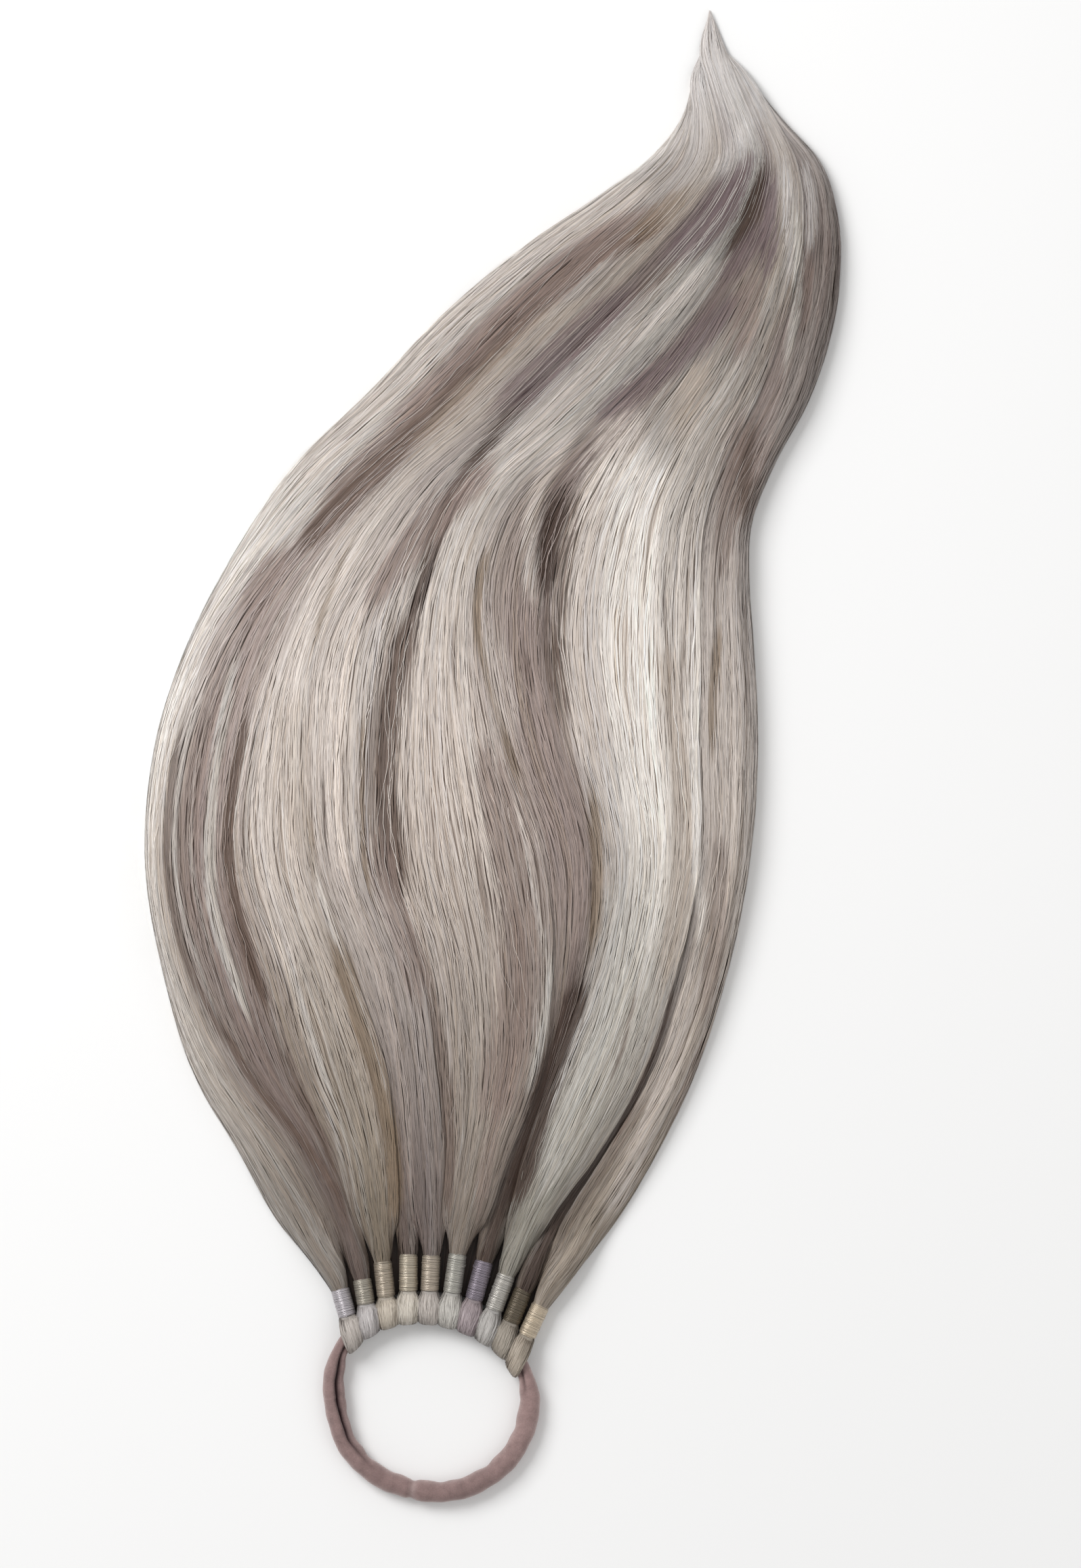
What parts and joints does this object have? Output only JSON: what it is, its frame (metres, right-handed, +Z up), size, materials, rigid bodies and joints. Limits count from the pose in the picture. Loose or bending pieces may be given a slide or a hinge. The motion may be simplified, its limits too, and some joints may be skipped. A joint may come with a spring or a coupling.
{
  "type": "ponytail hairpiece",
  "caption": "Ponytail hairpiece lying flat: bound strands of false hair folded over an elastic hair tie, fanned out and swept in an S curve to one pointed tip.",
  "frame": {"origin": "middle of the box that holds the hairpiece, at the surface it lies on", "axes": "+Y from the hair tie to the tip of the tail, +X to the right of the tail seen from above, +Z up from the surface"},
  "size_m": [0.2365, 0.5037, 0.0239],
  "materials": {
    "elastic_cover": "soft brushed cloth",
    "hair_pale": "fine combed fibre, soft sheen",
    "hair_mauve": "fine combed fibre, soft sheen",
    "hair_cream": "fine combed fibre, soft sheen",
    "hair_beige": "fine combed fibre, soft sheen",
    "hair_dark": "fine combed fibre, soft sheen",
    "binding_lilac": "wound thread, satin",
    "binding_beige": "wound thread, satin",
    "binding_champagne": "wound thread, satin",
    "binding_silver": "wound thread, satin",
    "binding_dark": "wound thread, satin"
  },
  "bodies": {
    "root": {"elastic_band": "elastic_cover", "strand_01": "hair_pale", "strand_02": "hair_mauve", "strand_03": "hair_cream", "strand_04": "hair_beige", "strand_05": "hair_beige", "strand_06": "hair_cream", "strand_07": "hair_mauve", "strand_08": "hair_pale", "strand_09": "hair_dark", "strand_10": "hair_beige", "binding_01": "binding_lilac", "binding_02": "binding_beige", "binding_03": "binding_beige", "binding_04": "binding_champagne", "binding_05": "binding_beige", "binding_06": "binding_silver", "binding_07": "binding_lilac", "binding_08": "binding_silver", "binding_09": "binding_dark", "binding_10": "binding_champagne"}
  },
  "joints": []
}
